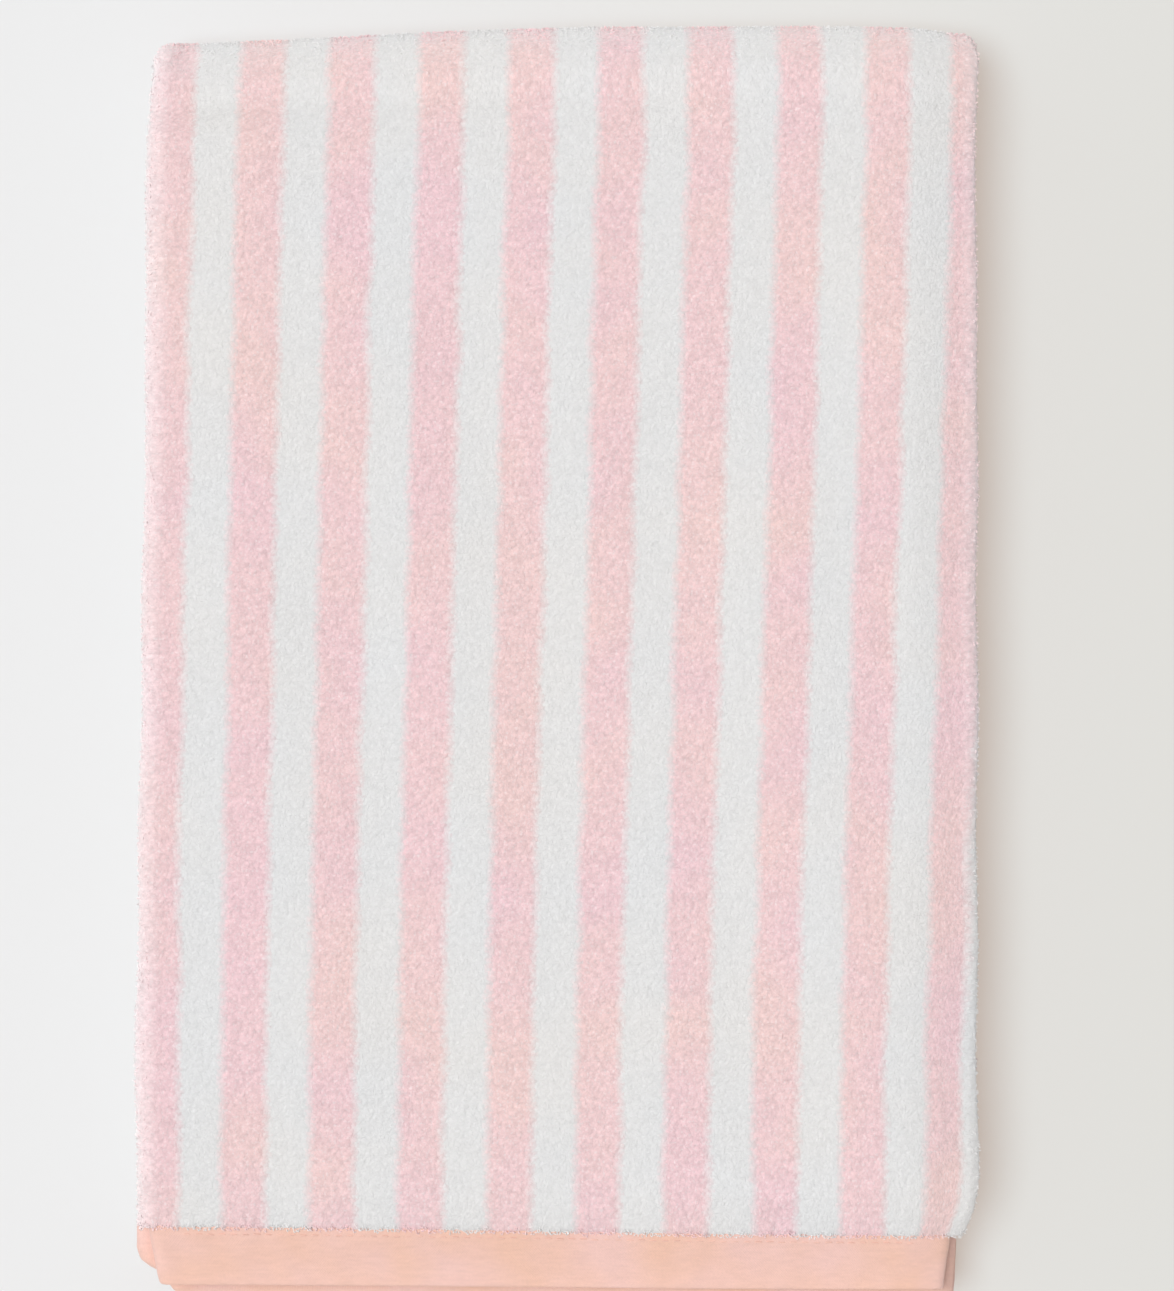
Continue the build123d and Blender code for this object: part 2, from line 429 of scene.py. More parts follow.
# ------------ meshes
def add_object(name, data):
    made = bpy.data.objects.new(name, data)
    bpy.context.scene.collection.objects.link(made)
    return made


def write_mesh(name, points, quads, polygons=(), caps=0, cloth=None, chart=None, values=None):
    """A mesh object from arrays. polygons are more faces, as lists of vertex numbers, and as many of
    the last ones as caps says are flat ends. cloth and chart are UVs, values are point attributes."""
    extra = [np.asarray(p, np.int64) for p in polygons]
    sizes = np.concatenate([np.full(len(quads), 4), [len(p) for p in extra]]).astype(np.int64)
    corners = np.concatenate([np.asarray(quads, np.int64).ravel(), *extra])
    starts = np.concatenate([[0], np.cumsum(sizes)[:-1]])
    mesh = bpy.data.meshes.new(name)
    mesh.vertices.add(len(points))
    mesh.vertices.foreach_set("co", points.astype(np.float32).ravel())
    mesh.loops.add(len(corners))
    mesh.loops.foreach_set("vertex_index", corners.astype(np.int32))
    mesh.polygons.add(len(sizes))
    mesh.polygons.foreach_set("loop_start", starts.astype(np.int32))
    mesh.update(calc_edges=True)
    mesh.shade_smooth()
    if caps:
        edge_of = np.empty(len(corners), np.int32)
        mesh.loops.foreach_get("edge_index", edge_of)
        sharp = np.zeros(len(mesh.edges), bool)
        sharp[edge_of[starts[-caps]:]] = True
        mesh.attributes.new("sharp_edge", "BOOLEAN", "EDGE").data.foreach_set("value", sharp)
    for label, coordinates in (("cloth", cloth), ("OFBake", chart)):
        if coordinates is not None:
            layer = mesh.uv_layers.new(name=label)
            layer.data.foreach_set("uv", coordinates[corners].astype(np.float32).ravel())
    for label, numbers in (values or {}).items():
        layer = mesh.attributes.new(label, "FLOAT", "POINT")
        layer.data.foreach_set("value", numbers.astype(np.float32))
    return add_object(name, mesh)


def signed_volume(points, quads, polygons):
    a, b, c, d = (points[quads[:, k]] for k in range(4))
    total = np.einsum("ij,ij->", a, np.cross(b, c)) + np.einsum("ij,ij->", a, np.cross(c, d))
    for face in polygons:
        p = points[np.asarray(face)]
        fan = np.broadcast_to(p[0], (len(p) - 2, 3))
        total += np.einsum("ij,ij->", fan, np.cross(p[1:-1], p[2:]))
    return total / 6


def cuts_across(u_low, u_high):
    """Where a piece is cut across, with closer cuts round the folds."""
    breaks = [u_low]
    for part in range(5):
        low, high = max(section_breaks[part], u_low), min(section_breaks[part + 1], u_high)
        if high - low > 1e-6:
            step = {1: narrow_arc / 4, 3: wide_arc / 6}.get(part, coarse_step)
            count = max(1, math.ceil((high - low) / step - 1e-6))
            breaks += list(np.linspace(low, high, count + 1)[1:])
    return np.array(breaks)


def cloth_piece(name, stretch, grain, u_low, u_high, shape, fine=True, end=None):
    """One stretch of cloth as a closed mesh. Its smooth face and side folds are cut to grain, the rest
    coarsely. shape(u, v, face, detail) gives each point's height over the middle line, and its values.
    end is "start" or "end" where rows crowd together at that end, because the cloth rounds over."""
    breaks = cuts_across(u_low, u_high)
    gaps = len(breaks) - 1
    middle = (breaks[:-1] + breaks[1:]) / 2
    wanted = (middle > section_breaks[1] - coarse_step) & (middle < section_breaks[4] + coarse_step)
    if fine and wanted.any():
        first, last = np.flatnonzero(wanted)[[0, -1]]
        last += 1
    else:
        first, last = gaps // 2, gaps // 2 + 1
    folded = (middle > section_breaks[1]) & (middle < section_breaks[2])
    folded |= (middle > section_breaks[3]) & (middle < section_breaks[4])
    cuts = np.maximum(1, np.round(np.diff(breaks) * np.where(folded, 1.6, 1.0) / grain)).astype(int)
    fine_u, starts = [breaks[first]], {first: 0}
    for gap in range(first, last):
        fine_u += list(np.linspace(breaks[gap], breaks[gap + 1], cuts[gap] + 1)[1:])
        starts[gap + 1] = len(fine_u) - 1
    fine_u = np.array(fine_u)
    steps = max(2, math.ceil(stretch.length / coarse_step))
    sub = max(1, round(stretch.length / steps / grain))
    rows = steps * sub + 1
    share = np.linspace(0, 1, rows)
    if end == "start":
        share = share * share * (2 - share)
    elif end == "end":
        share = 1 - (1 - share) ** 2 * (1 + share)
    v_fine = stretch.v_start + (stretch.v_end - stretch.v_start) * share
    v_coarse = v_fine[::sub]
    # The coarse columns go on from the fine face's end, round the back and up to its start
    outline = [(k, 1) for k in range(last + 1, gaps + 1)]
    outline += [(k, -1) for k in range(gaps, -1, -1)]
    outline += [(k, 1) for k in range(first)]
    coarse_u = np.array([breaks[k] for k, _ in outline])
    coarse_face = np.array([face for _, face in outline])
    fine_count, coarse_count, high = len(fine_u), len(outline), steps + 1
    u = np.concatenate([np.repeat(fine_u, rows), np.repeat(coarse_u, high)])
    v = np.concatenate([np.tile(v_fine, fine_count), np.tile(v_coarse, coarse_count)])
    face = np.concatenate([np.ones(fine_count * rows), np.repeat(coarse_face, high)])
    detail = np.concatenate([np.ones(fine_count * rows), np.zeros(coarse_count * high)])
    height, values = shape(u, v, face, detail)
    points = laid(stretch, u, v, height)
    offset = fine_count * rows

    def grid(columns, tall, start):
        index = start + np.arange(columns * tall).reshape(columns, tall)
        corners = [index[:-1, :-1], index[1:, :-1], index[1:, 1:], index[:-1, 1:]]
        return np.stack(corners, -1).reshape(-1, 4)

    quads = np.concatenate([grid(fine_count, rows, 0), grid(coarse_count, high, offset)])
    polygons = []
    last_fine, last_coarse = (fine_count - 1) * rows, offset + (coarse_count - 1) * high
    for k in range(steps):
        inner = range(last_fine + (k + 1) * sub, last_fine + k * sub - 1, -1)
        polygons.append([*inner, offset + k, offset + k + 1])
        polygons.append([last_coarse + k + 1, last_coarse + k, *range(k * sub, (k + 1) * sub + 1)])
    numbers = {key: n for n, key in enumerate(outline)}

    def corner(k, side, far):
        if side == 1 and first <= k <= last:
            return starts[k] * rows + far * (rows - 1)
        return offset + numbers[(k, side)] * high + far * steps

    for far in (0, 1):
        for k in range(gaps):
            upper = [corner(k, 1, far), corner(k + 1, 1, far)]
            if first <= k < last:
                upper = [c * rows + far * (rows - 1) for c in range(starts[k], starts[k + 1] + 1)]
            cap = upper + [corner(k + 1, -1, far), corner(k, -1, far)]
            polygons.append(cap if far else cap[::-1])
    if signed_volume(points, quads, polygons) < 0:
        quads = quads[:, ::-1]
        polygons = [p[::-1] for p in polygons]
    # One flat chart: the fine face in its first part, everything else beside it
    fine_share = 0.72 if fine_count > 40 else 0.5
    chart_u = np.concatenate([
        np.repeat(np.linspace(0.004, fine_share, fine_count), rows),
        np.repeat(np.linspace(fine_share + 0.004, 0.996, coarse_count), high)])
    chart_v = 0.004 + 0.992 * np.concatenate([
        np.tile(np.linspace(0, 1, rows), fine_count), np.tile(np.linspace(0, 1, high), coarse_count)])
    return write_mesh(name, points, quads, polygons, 2 * gaps, on_cloth(u, v),
                      np.stack([chart_u, chart_v], 1), values)


hem_rim_drop, hem_rim_radius = 1.15 * MM, 2.2 * MM
weave_end_radius, weave_end_thinning = 0.9 * MM, 0.93
weave_ripple, weave_ripple_length, weave_ripple_start = 0.16 * MM, 26 * MM, 3 * MM
selvedge_fade = 3 * MM
# The painted highlight round the side folds: where it starts before each fold, and over what width it
# rises
fold_highlight_start, fold_highlight_reach = 2.5 * MM, 7 * MM


def rounded(distance, radius):
    """How far a face has dropped at a distance from a rounded edge, as a share of the radius."""
    return 1 - np.sqrt(1 - (1 - np.clip(distance / radius, 0, 1)) ** 2)


def hem_drop(v, hem_v):
    """How far the terry's faces have rounded over on the way to a hem at hem_v."""
    if hem_v is None:
        return np.zeros_like(v)
    return hem_rim_drop * rounded(np.abs(v - hem_v), hem_rim_radius)


def painted_fold_highlight(u):
    """Painted highlight: how much paler the pile is painted, from 0 on the smooth face to 1 round the
    side folds and the plies beyond them.
    """
    return rises(np.maximum(section_breaks[2] - u, u - section_breaks[3]), -fold_highlight_start, fold_highlight_reach)


def terry_shape(hem_v=None):
    """Ground cloth and loops, rounded off where they meet a hem at hem_v."""
    def shape(u, v, face, detail):
        height, tint = pile(u, v)
        edge = np.minimum(u - section_breaks[1] + coarse_step, section_breaks[4] + coarse_step - u)
        relief = relief_height * (height - 0.8) * detail * smooth(edge / selvedge_fade)
        level = face * (terry_thickness / 2 - hem_drop(v, hem_v)) + relief
        # pile is the loops' height, which the material also turns into painted shade in the hollows;
        # pale carries the painted highlight round the side folds
        return level, {"pile": np.where(detail > 0, height, 0.75), "tint": tint, "pale": painted_fold_highlight(u)}
    return shape


def woven_shape(thickness, end_v=None):
    """Flat weave, rounded over where it ends at end_v."""
    def shape(u, v, face, detail):
        half = np.full_like(u, thickness / 2)
        if end_v is not None:
            to_end = np.abs(v - end_v)
            half *= 1 - weave_end_thinning * rounded(to_end, weave_end_radius)
            uneven = ripples(u, v * 1.5, weave_ripple_length, 17)
            half += weave_ripple * uneven * smooth(to_end / weave_ripple_start)
        return face * half, {"pile": np.full_like(u, 0.8), "tint": np.full_like(u, 0.5)}
    return shape


tube_chart_radius = 0.0012


def tubes(name, centres, sideways, radii, sides, cloth, chart, values):
    """Many thin bent tubes as one mesh. centres is (tubes, rings, 3)."""
    count, rings = centres.shape[:2]
    along = np.gradient(centres, axis=1)
    along /= np.linalg.norm(along, axis=2)[..., None]
    first_side = sideways[:, None, :] - along * np.sum(along * sideways[:, None, :], axis=2)[..., None]
    first_side /= np.linalg.norm(first_side, axis=2)[..., None]
    second_side = np.cross(along, first_side)
    ring = []
    for corner in range(sides):
        angle = 2 * math.pi * corner / sides
        outwards = first_side * math.cos(angle) + second_side * math.sin(angle)
        ring.append(centres + outwards * radii[..., None])
    points = np.stack(ring, 2).reshape(-1, 3)
    points[:, Z] = np.maximum(points[:, Z], 0)
    one = np.array([[r * sides + c, r * sides + (c + 1) % sides, (r + 1) * sides + (c + 1) % sides,
                     (r + 1) * sides + c] for r in range(rings - 1) for c in range(sides)])
    per = rings * sides
    quads = (one[None] + (np.arange(count) * per)[:, None, None]).reshape(-1, 4)
    turn = 2 * math.pi * np.arange(per) / per
    spread = np.tile(np.stack([np.cos(turn), np.sin(turn)], 1) * tube_chart_radius, (count, 1))
    chart = np.clip(0.005 + 0.99 * np.repeat(chart, per, axis=0) + spread, 0, 1)
    values = {key: np.repeat(numbers, sides, axis=1).ravel() for key, numbers in values.items()}
    return write_mesh(name, points, quads, cloth=np.repeat(cloth, per, axis=0),
                      chart=chart, values=values)


# ------------ loops that stand out of the pile
side_fold_reach = 2.5 * MM
root_depth = 0.3 * MM
fringe_pitch_share = 0.6


def loops_piece(name, stretch, u_span, v_span, keep, fringe=False):
    """Curled loops of yarn, each a thin bent tube rooted in the pile. A fringe is closer set, and leans
    over the hem beside it."""
    closer = fringe_pitch_share if fringe else 1.0
    (u_low, u_high), (v_low, v_high) = u_span, v_span
    i, j = (cells.ravel() for cells in np.meshgrid(*(
        np.arange(math.floor(low / pitch / closer) - 1, math.ceil(high / pitch / closer) + 1)
        for low, high, pitch in ((u_low, u_high, loop_pitch_u), (v_low, v_high, loop_pitch_v))),
        indexing="ij"))
    u, v = (place * closer for place in loop_centre(i, j))
    # They stand up round the folds and at the hem. On the flat they are pressed down
    free = smooth(np.maximum(section_breaks[2] - u, u - section_breaks[3]) / side_fold_reach)
    if fringe or isinstance(stretch, Turn):
        free = np.maximum(free, stretch.freedom(v))
    kept = scatter(i, j, 20) < keep * free
    kept &= (u > u_low) & (u < u_high) & (v > v_low) & (v < v_high)
    i, j, u, v, free = i[kept], j[kept], u[kept], v[kept], free[kept]
    # Each loop has its own frame: along u, outward, and the direction across both
    small = 0.05 * MM
    base = terry_thickness / 2 - root_depth - hem_drop(v, stretch.hem_v)
    root = laid(stretch, u, v, base)
    side_u = laid(stretch, u + small, v, base) - root
    normal = laid(stretch, u, v, base + small) - root
    side_u /= np.linalg.norm(side_u, axis=1)[:, None]
    normal /= np.linalg.norm(normal, axis=1)[:, None]
    side_v = np.cross(normal, side_u)
    heading, lean_to = (scatter(i, j, salt) * 2 * math.pi for salt in (21, 22))
    if fringe:
        lean_to = math.pi / 2 + 0.25 * (lean_to - math.pi)
    half_width = (0.30 + 0.30 * scatter(i, j, 23)) * MM
    height = (0.34 + 0.22 * scatter(i, j, 24) + free * (0.1 + 0.25 * scatter(i, j, 28))) * MM
    leaning = ((0.5 if fringe else 0.15) + 0.45 * scatter(i, j, 25)) * MM
    yarn = (0.12 + 0.06 * scatter(i, j, 26)) * MM
    ahead = np.cos(heading)[:, None] * side_u + np.sin(heading)[:, None] * side_v
    aslant = np.cos(lean_to)[:, None] * side_u + np.sin(lean_to)[:, None] * side_v
    # The loops bulge, so their feet lie a little further apart than their width
    rings, foot_spread = 5, 2.1
    arch = np.sin(math.pi * np.arange(rings) / (rings - 1)) ** 0.75
    centres = np.stack([
        root + ahead * (half_width * foot_spread * (ring / (rings - 1) - 0.5))[:, None]
        + normal * (height * arch[ring])[:, None] + aslant * (leaning * arch[ring] ** 1.5)[:, None]
        for ring in range(rings)], 1)
    chart = np.stack([(u - u_low) / (u_high - u_low), (v - v_low) / (v_high - v_low)], 1)
    # pile is lower at the loops' feet, where the material paints shade; pale carries the painted
    # highlight round the side folds
    values = {"pile": np.tile(0.55 + 0.45 * arch, (len(u), 1)),
              "tint": np.repeat(scatter(i, j, 5)[:, None], rings, axis=1),
              "pale": np.repeat(painted_fold_highlight(u)[:, None], rings, axis=1)}
    radii = np.repeat(yarn[:, None], rings, axis=1)
    return tubes(name, centres, np.cross(normal, ahead), radii, 3, on_cloth(u, v), chart, values)


# ------------ materials
def new_material(name):
    material = bpy.data.materials.new(name)
    material.use_nodes = True
    tree = material.node_tree
    tree.nodes.clear()
    output = tree.nodes.new("ShaderNodeOutputMaterial")
    shader = tree.nodes.new("ShaderNodeBsdfPrincipled")
    tree.links.new(shader.outputs[0], output.inputs["Surface"])
    return material, tree, shader


def node(tree, kind, inputs=None, **settings):
    made = tree.nodes.new("ShaderNode" + kind)
    for key, value in settings.items():
        setattr(made, key, value)
    for key, value in (inputs or {}).items():
        if isinstance(value, bpy.types.NodeSocket):
            tree.links.new(value, made.inputs[key])
        else:
            made.inputs[key].default_value = value
    return made


def maths(tree, operation, a, b=0.0, c=0.0):
    return node(tree, "Math", {0: a, 1: b, 2: c}, operation=operation).outputs[0]


def vectors(tree, operation, a, b):
    made = node(tree, "VectorMath", {0: a, 1: b}, operation=operation)
    return made.outputs["Value" if operation == "DOT_PRODUCT" else "Vector"]


def swing(tree, value, middle, width):
    """How far the value is from its middle, times width."""
    return maths(tree, "MULTIPLY", maths(tree, "SUBTRACT", value, middle), width)


def noise(tree, vector, scale, detail=2.0, roughness=0.5, output="Fac"):
    return node(tree, "TexNoise",
                {"Vector": vector, "Scale": scale, "Detail": detail, "Roughness": roughness},
                noise_dimensions="2D").outputs[output]


def mapped(tree, value, low, high, to_low=0.0, to_high=1.0):
    return node(tree, "MapRange", {"Value": value, "From Min": low, "From Max": high,
                                   "To Min": to_low, "To Max": to_high}).outputs[0]


def mixed(tree, share, a, b):
    return node(tree, "Mix", {0: share, 6: a, 7: b}, data_type="RGBA").outputs[2]


def scaled(tree, colour, share):
    """The colour made lighter or darker by share."""
    return node(tree, "VectorMath", {0: colour, "Scale": share}, operation="SCALE").outputs[0]


def attribute(tree, name):
    return node(tree, "Attribute", attribute_name=name).outputs["Fac"]


def finish_fabric(tree, shader, colour, relief, strength, depth, roughness, sheen):
    """Sets the shader's colour, its bump where there is a relief, and its finish."""
    tree.links.new(colour, shader.inputs["Base Color"])
    if relief is not None:
        bump = node(tree, "Bump", {"Height": relief, "Strength": strength, "Distance": depth})
        tree.links.new(bump.outputs[0], shader.inputs["Normal"])
    shader.inputs["Specular IOR Level"].default_value = 0.15
    shader.inputs["Sheen Weight"].default_value = sheen
    shader.inputs["Sheen Roughness"].default_value = 0.48
    tree.links.new(roughness, shader.inputs["Roughness"])


PINK_COOL = (0.850, 0.595, 0.632, 1)
PINK_WARM = (0.860, 0.620, 0.602, 1)
PINK_PALE = (0.900, 0.820, 0.830, 1)
WHITE_COOL = (0.755, 0.755, 0.760, 1)
WHITE_WARM = (0.775, 0.760, 0.750, 1)


# Scales of the noise and cells, per metre
stripe_wander_scale, blotch_scale, patch_scale = 55, 22, 38
bend_scale, yarn_scale, pale_end_scale, fibre_scale = 1700, 1200, 1500, 3000
slub_scale, thread_run_scale = 1500, 900
# How far the yarn's cells are bent, and how far a stripe's edge wanders and is ragged
bend_width, wander_width, ragged_width = 1.3 * MM, 2.2 * MM, 1.1 * MM


def terry_material(name, fuzz, painted_lightness):
    """Looped pile in pink and white stripes, whose edges wander and are ragged by about a loop."""
    material, tree, shader = new_material(name)
    cloth = node(tree, "UVMap", uv_map="cloth").outputs[0]
    across = node(tree, "SeparateXYZ", {0: cloth}).outputs[0]
    # Curls of yarn: cells about a loop across, bent out of shape, with finer fibres on them
    bend = vectors(tree, "SUBTRACT", noise(tree, cloth, bend_scale, output="Color"), (0.5, 0.5, 0.5))
    curled = vectors(tree, "ADD", cloth, scaled(tree, bend, bend_width))
    loops = node(tree, "TexVoronoi", {"Vector": curled, "Scale": yarn_scale},
                 voronoi_dimensions="2D", feature="F1")
    dome = mapped(tree, loops.outputs["Distance"], 0.0, 0.75, 1.0, 0.0)
    yarn_tint = node(tree, "SeparateXYZ", {0: loops.outputs["Color"]}).outputs[0]
    fibres = noise(tree, curled, fibre_scale, 2, 0.7)
    # The stripes: 0 at the middle of a pink one, 0.5 at the middle of a white one
    wander = swing(tree, noise(tree, cloth, stripe_wander_scale, 2), 0.5, wander_width)
    ragged = swing(tree, yarn_tint, 0.5, ragged_width)
    shifted = maths(tree, "ADD", maths(tree, "ADD", across, wander), ragged)
    phase = maths(tree, "FRACT", maths(tree, "MULTIPLY_ADD", shifted, 1 / (2 * stripe_width), 0.25))
    off_centre = maths(tree, "ABSOLUTE", maths(tree, "SUBTRACT", phase, 0.5))
    pinkness = mapped(tree, off_centre, 0.19, 0.31, 1.0, 0.0)
    blotch = mapped(tree, noise(tree, cloth, blotch_scale, 3, 0.5), 0.3, 0.7)
    pink = mixed(tree, blotch, PINK_COOL, PINK_WARM)
    # Paler ends of yarn catch the light, and round the side folds the pile has a painted highlight
    pale_ends = mapped(tree, noise(tree, curled, pale_end_scale, 1, 0.5), 0.56, 0.74, 0.0, 0.45)
    pink = mixed(tree, pale_ends, pink, PINK_PALE)
    pink = mixed(tree, maths(tree, "MULTIPLY", attribute(tree, "pale"), 0.6), pink, PINK_PALE)
    colour = mixed(tree, pinkness, mixed(tree, blotch, WHITE_COOL, WHITE_WARM), pink)
    # Pink yarn varies more than white
    tints = maths(tree, "ADD", yarn_tint, attribute(tree, "tint"))
    uneven = swing(tree, tints, 1.0, mapped(tree, pinkness, 0, 1, 0.04, 0.10))
    # Painted shade: darker in the hollows between loops and towards the loops' feet
    depth = maths(tree, "MULTIPLY", dome, attribute(tree, "pile"))
    hollow_shade = swing(tree, depth, 0.6, mapped(tree, pinkness, 0, 1, 0.08, 0.14))
    # The lightness argument lifts the whole colour, painted lighter for the loops against their shade
    shade = maths(tree, "ADD", maths(tree, "ADD", painted_lightness, uneven), hollow_shade)
    relief = maths(tree, "MULTIPLY_ADD", fibres, 0.6, dome) if fuzz else None
    finish_fabric(tree, shader, scaled(tree, colour, shade), relief, 0.7, 0.3 * MM,
                  mapped(tree, fibres, 0, 1, 0.88, 1.0), 0.8)
    return material


def woven_material(name, light, dark, thread_pitch):
    """A fine plain weave of crossing threads, a little uneven."""
    material, tree, shader = new_material(name)
    cloth = node(tree, "UVMap", uv_map="cloth").outputs[0]
    parts = node(tree, "SeparateXYZ", {0: cloth})
    turns = 2 * math.pi / thread_pitch
    warp, weft = (maths(tree, "SINE", maths(tree, "MULTIPLY", parts.outputs[k], turns))
                  for k in (0, 1))
    weave = maths(tree, "MULTIPLY_ADD", maths(tree, "MULTIPLY", warp, weft), 0.5, 0.5)
    slub = noise(tree, cloth, slub_scale, 2)
    # Broad patches of the two tints, and darker and lighter runs of thread along the weft
    patches = mapped(tree, noise(tree, cloth, patch_scale, 2), 0.3, 0.7)
    drawn_out = vectors(tree, "MULTIPLY", cloth, (0.22, 1, 1))
    uneven = maths(tree, "ADD", noise(tree, drawn_out, thread_run_scale, 3, 0.6),
                   maths(tree, "MULTIPLY", slub, 0.8))
    shade = maths(tree, "MULTIPLY_ADD", weave, 0.06, maths(tree, "MULTIPLY_ADD", uneven, 0.16, 0.82))
    finish_fabric(tree, shader, scaled(tree, mixed(tree, patches, dark, light), shade),
                  maths(tree, "MULTIPLY_ADD", slub, 0.7, weave), 0.45, 0.12 * MM,
                  mapped(tree, slub, 0, 1, 0.8, 0.95), 0.2)
    return material


terry = terry_material("terry", True, 1.0)
# The loops' copy is painted lighter, against the shade that darkens their thin yarn
terry_loops = terry_material("terry_loops", False, 1.12)
hem_weave = woven_material(
    "hem_weave", (0.80, 0.530, 0.475, 1), (0.785, 0.500, 0.395, 1), 0.75 * MM)
selvedge_weave = woven_material(
    "selvedge_weave", (0.80, 0.77, 0.75, 1), (0.74, 0.69, 0.68, 1), 0.8 * MM)
seam_thread = woven_material(
    "seam_thread", (0.81, 0.525, 0.445, 1), (0.78, 0.495, 0.410, 1), 0.5 * MM)

# ------------ the towel
half_of = {"top_leaf": "upper_half", "second_leaf": "upper_half", "third_leaf": "lower_half",
           "bottom_leaf": "lower_half", "front_fold": "lower_half"}


def place_piece(piece, material, body=None):
    """Gives a piece its material and slot, and lets it ride on a body. With no body it is cloth of the
    back fold, and its transform is baked into its mesh."""
    piece.data.materials.append(material)
    if body:
        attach(piece, body)
    else:
        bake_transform(piece)


# How finely each stretch's pile is cut, in mm
coarser = 1.0
grains = {"top_leaf": 0.55, "outer_back_fold": 0.55, "front_fold": 0.8, "third_leaf": 0.9,
          "second_leaf": 0.9, "bottom_leaf": 1.5, "inner_back_fold": 0.8}
hem_grain, selvedge_grain = 0.7, 2
hem_ends = {"top_leaf": v_top_terry, "second_leaf": v_second_hem}
inner_low, outer_high = selvedge_width, flat_width - selvedge_width
# Radii about the back fold's axis, one for each part of its cloth
clear = 0.2 * MM
second_ply_inside = ply_pitch + clear
wide_fold_inside = ply_pitch + terry_thickness / 2 + clear
outer_inside = stack_height / 2 - leaf_thickness

for label, stretch in stretches.items():
    body = half_of.get(label)
    # Each piece's name, its part of the width and its still radius
    parts = [("cloth", inner_low, outer_high, outer_inside)]
    if label == "inner_back_fold":
        parts = [("cloth_ply_2", inner_low, narrow_top, second_ply_inside),
                 ("cloth_ply_1", narrow_top, wide_top, clear),
                 ("cloth_ply_3", wide_top, outer_high, wide_fold_inside)]
    for part, low, high, radius in parts:
        piece = cloth_piece(f"{label}_{part}", stretch, grains[label] * coarser * MM, low, high,
                            terry_shape(hem_ends.get(label)))
        place_piece(piece, terry, body)
        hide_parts(label + "_terry")
        length = float(stretch.cloth_length(section(np.linspace(low, high, 400))[1]).mean())
    for strip, low, high in (("inner_selvedge", 0.0, inner_low),
                             ("outer_selvedge", outer_high, flat_width)):
        piece = cloth_piece(f"{label}_{strip}_band", stretch, selvedge_grain * MM, low, high,
                            woven_shape(selvedge_thickness), fine=False)
        place_piece(piece, selvedge_weave, body)
        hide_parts(f"{label}_{strip}")

stitch_pitch, stitch_length, stitch_radius = 3.4 * MM, 2.4 * MM, 0.22 * MM
seam_wander = 0.08 * MM
stitch_rise, stitch_dip = 0.03 * MM, 0.45 * MM
for label, stretch in hems.items():
    top = label == "top_hem"
    piece = cloth_piece(label + "_band", stretch, hem_grain * coarser * MM, 0.0, flat_width,
                        woven_shape(hem_thickness, 0.0 if top else flat_length),
                        end="start" if top else "end")
    place_piece(piece, hem_weave, "upper_half")
    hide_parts(label)
    # The seam: short threads that dip into the weave at both ends
    seam_low, seam_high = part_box(label + "_stitching")
    count = round((seam_high[X] - seam_low[X] - stitch_length) / stitch_pitch) + 1
    number = np.arange(count)
    ends = sorted([(stretch.y_start, stretch.v_start), (stretch.y_end, stretch.v_end)])
    seam_v = np.interp((seam_low[Y] + seam_high[Y]) / 2, *zip(*ends))
    seam_v = seam_v + seam_wander * np.sin(number * 2.3)
    middle_u = section_breaks[2] + narrow_x - (number - (count - 1) / 2) * stitch_pitch
    rings = 6
    run = np.linspace(-0.5, 0.5, rings)
    u = (middle_u[:, None] + run * stitch_length).ravel()
    rise = np.tile(stitch_rise - stitch_dip * (2 * run) ** 6, count)
    centres = laid(stretch, u, np.repeat(seam_v, rings), hem_thickness / 2 + rise)
    chart = np.stack([(number + 0.5) / count, np.full(count, 0.5)], 1)
    stitches = tubes(label + "_seam", centres.reshape(count, rings, 3),
                     np.tile([0.0, 1.0, 0.0], (count, 1)), np.full((count, rings), stitch_radius), 6,
                     on_cloth(middle_u, seam_v), chart, {})
    place_piece(stitches, seam_thread, "upper_half")
    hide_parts(label + "_stitching")

# Loops that stand out, on what is seen: the top, the back, the front fold and the leaves' side folds
loop_share = 0.8
narrow_low, narrow_high = section_breaks[1] - 1 * MM, section_breaks[2] + 2 * MM
wide_low, wide_high = section_breaks[3] - 2 * MM, section_breaks[4] + 1 * MM
smooth_side = (narrow_low, wide_high)
fringe_start, fringe_end = 0.3 * MM, 1.8 * MM
axis_clearance = 1.6 * MM


def place_loops(name, label, u_span, v_span, share=loop_share, fringe=False):
    piece = loops_piece(name, stretches[label], u_span, v_span, share, fringe)
    place_piece(piece, terry_loops, half_of.get(label))


place_loops("top_leaf_loops", "top_leaf", smooth_side, (v_top_terry - 0.1 * MM, v_outer_turn))
place_loops("top_leaf_fringe", "top_leaf", smooth_side,
            (v_top_terry - fringe_start, v_top_terry + fringe_end), share=1.0, fringe=True)
place_loops("outer_back_fold_loops", "outer_back_fold", smooth_side, (v_outer_turn, v_bottom))
place_loops("front_fold_loops", "front_fold", smooth_side, (v_front_turn, v_third))
for label in ("second_leaf", "third_leaf", "bottom_leaf"):
    # The loops end clear of the axis that the upper half turns about
    stretch = stretches[label]
    v_low, v_high = stretch.v_start, stretch.v_end
    if stretch.y_end == back_axis_y:
        v_high -= axis_clearance
    else:
        v_low += axis_clearance
    place_loops(label + "_narrow_side_loops", label, (narrow_low, narrow_high), (v_low, v_high))
    place_loops(label + "_wide_side_loops", label, (wide_low, wide_high), (v_low, v_high))

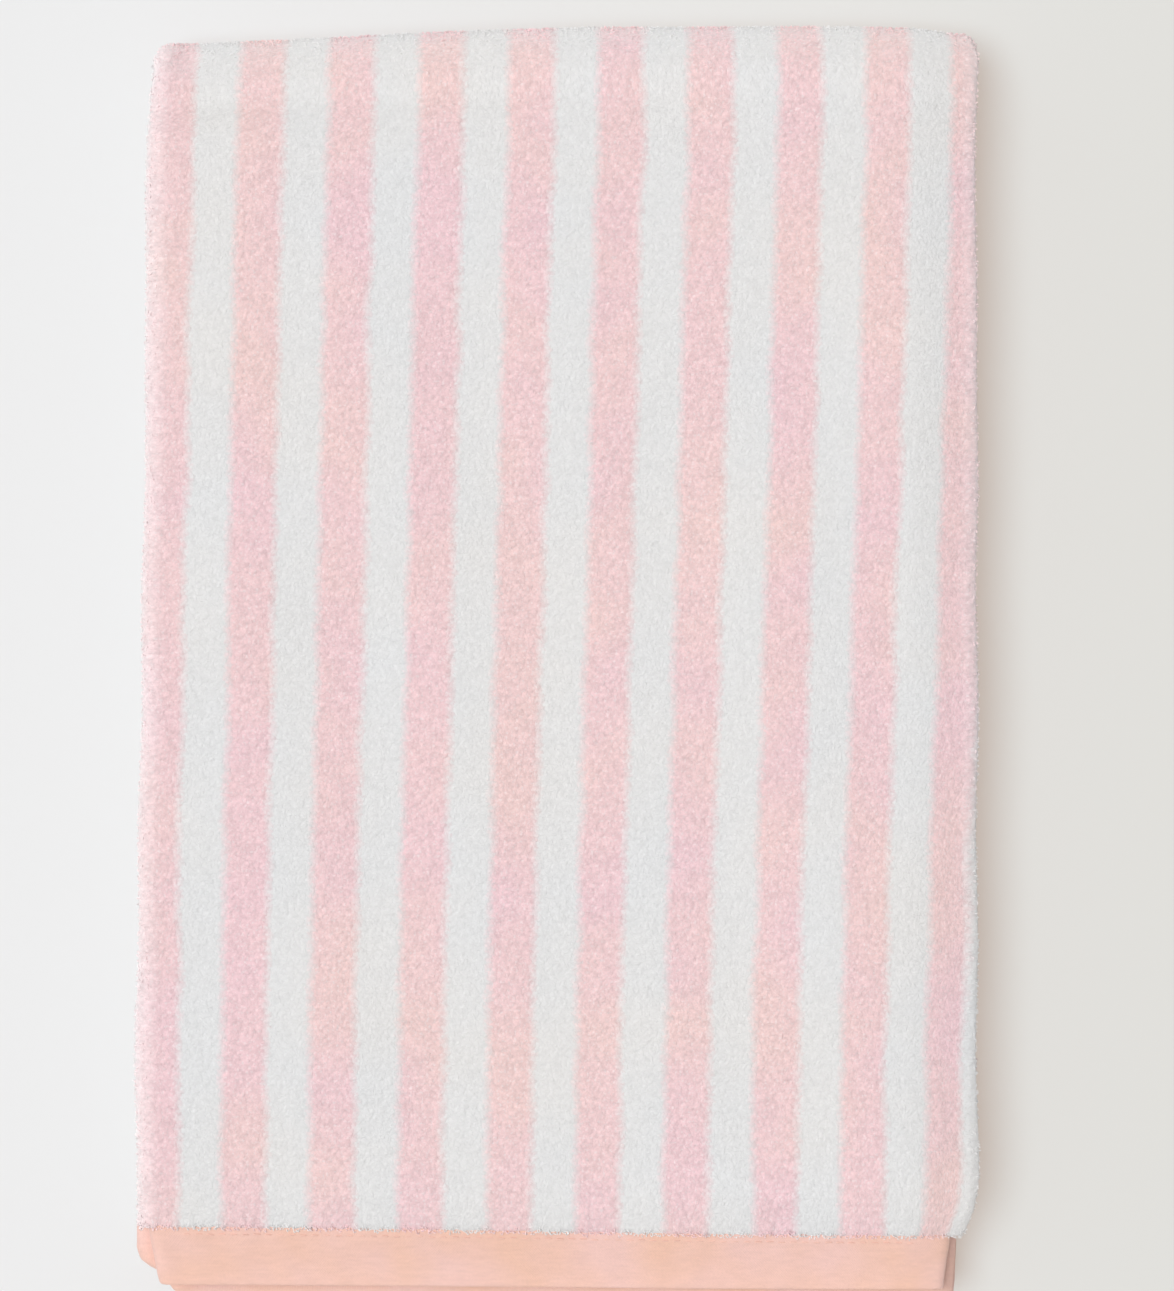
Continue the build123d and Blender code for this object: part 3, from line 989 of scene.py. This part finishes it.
# ------------ camera, light and floor
view_height, view_middle = 363.7 * MM, (8.3 * MM, 4.3 * MM)
camera_distance = 1.5
camera_data = bpy.data.cameras.new("camera")
camera_data.sensor_width = 36
camera_data.lens = camera_data.sensor_width * camera_distance / view_height
camera = add_object("camera", camera_data)
camera.location = (*view_middle, stack_height + camera_distance)
bpy.context.scene.camera = camera

floor_half = 4
floor_mesh = bpy.data.meshes.new("floor")
floor_corners = [(x * floor_half, y * floor_half, 0) for x, y in ((-1, -1), (1, -1), (1, 1), (-1, 1))]
floor_mesh.from_pydata(floor_corners, [], [(0, 1, 2, 3)])
floor = add_object("floor", floor_mesh)
floor_material, floor_tree, floor_shader = new_material("floor")
floor_shader.inputs["Base Color"].default_value = (0.34, 0.43, 0.465, 1)
floor_shader.inputs["Roughness"].default_value = 0.9
floor_shader.inputs["Specular IOR Level"].default_value = 0.0
# A faint glow keeps the shadows light. It fades towards the right
place = node(floor_tree, "NewGeometry").outputs["Position"]
rightward = node(floor_tree, "SeparateXYZ", {0: place}).outputs[0]
glow = mixed(floor_tree, mapped(floor_tree, rightward, -0.12, 0.17),
             (0.453, 0.347, 0.306, 1), (0.366, 0.254, 0.184, 1))
floor_tree.links.new(glow, floor_shader.inputs["Emission Color"])
floor_shader.inputs["Emission Strength"].default_value = 1.0
floor_mesh.materials.append(floor_material)

# The surroundings are brightest near the horizon, like pale studio walls, and a little more so at
# the left and behind
world = bpy.data.worlds.new("world")
world.use_nodes = True
world_tree = world.node_tree
heading = node(world_tree, "TexCoord").outputs["Generated"]
upward = node(world_tree, "SeparateXYZ", {0: heading}).outputs[2]
strength = maths(world_tree, "ADD", mapped(world_tree, upward, 0.03, 0.45, 0.86, 0.42),
                 vectors(world_tree, "DOT_PRODUCT", heading, (-0.17, 0.12, 0.0)))
background = world_tree.nodes["Background"]
background.inputs["Color"].default_value = (1, 1, 1, 1)
world_tree.links.new(strength, background.inputs["Strength"])
bpy.context.scene.world = world

# One very wide, soft light from overhead, a little to the left
key_data = bpy.data.lights.new("key", "SUN")
key_data.angle = math.radians(31)
key_data.energy = 2.33
key = add_object("key", key_data)
key.rotation_euler = Vector((0.72, 0.0, -3.2)).to_track_quat("-Z", "Y").to_euler()
bpy.context.scene.view_settings.view_transform = "Standard"
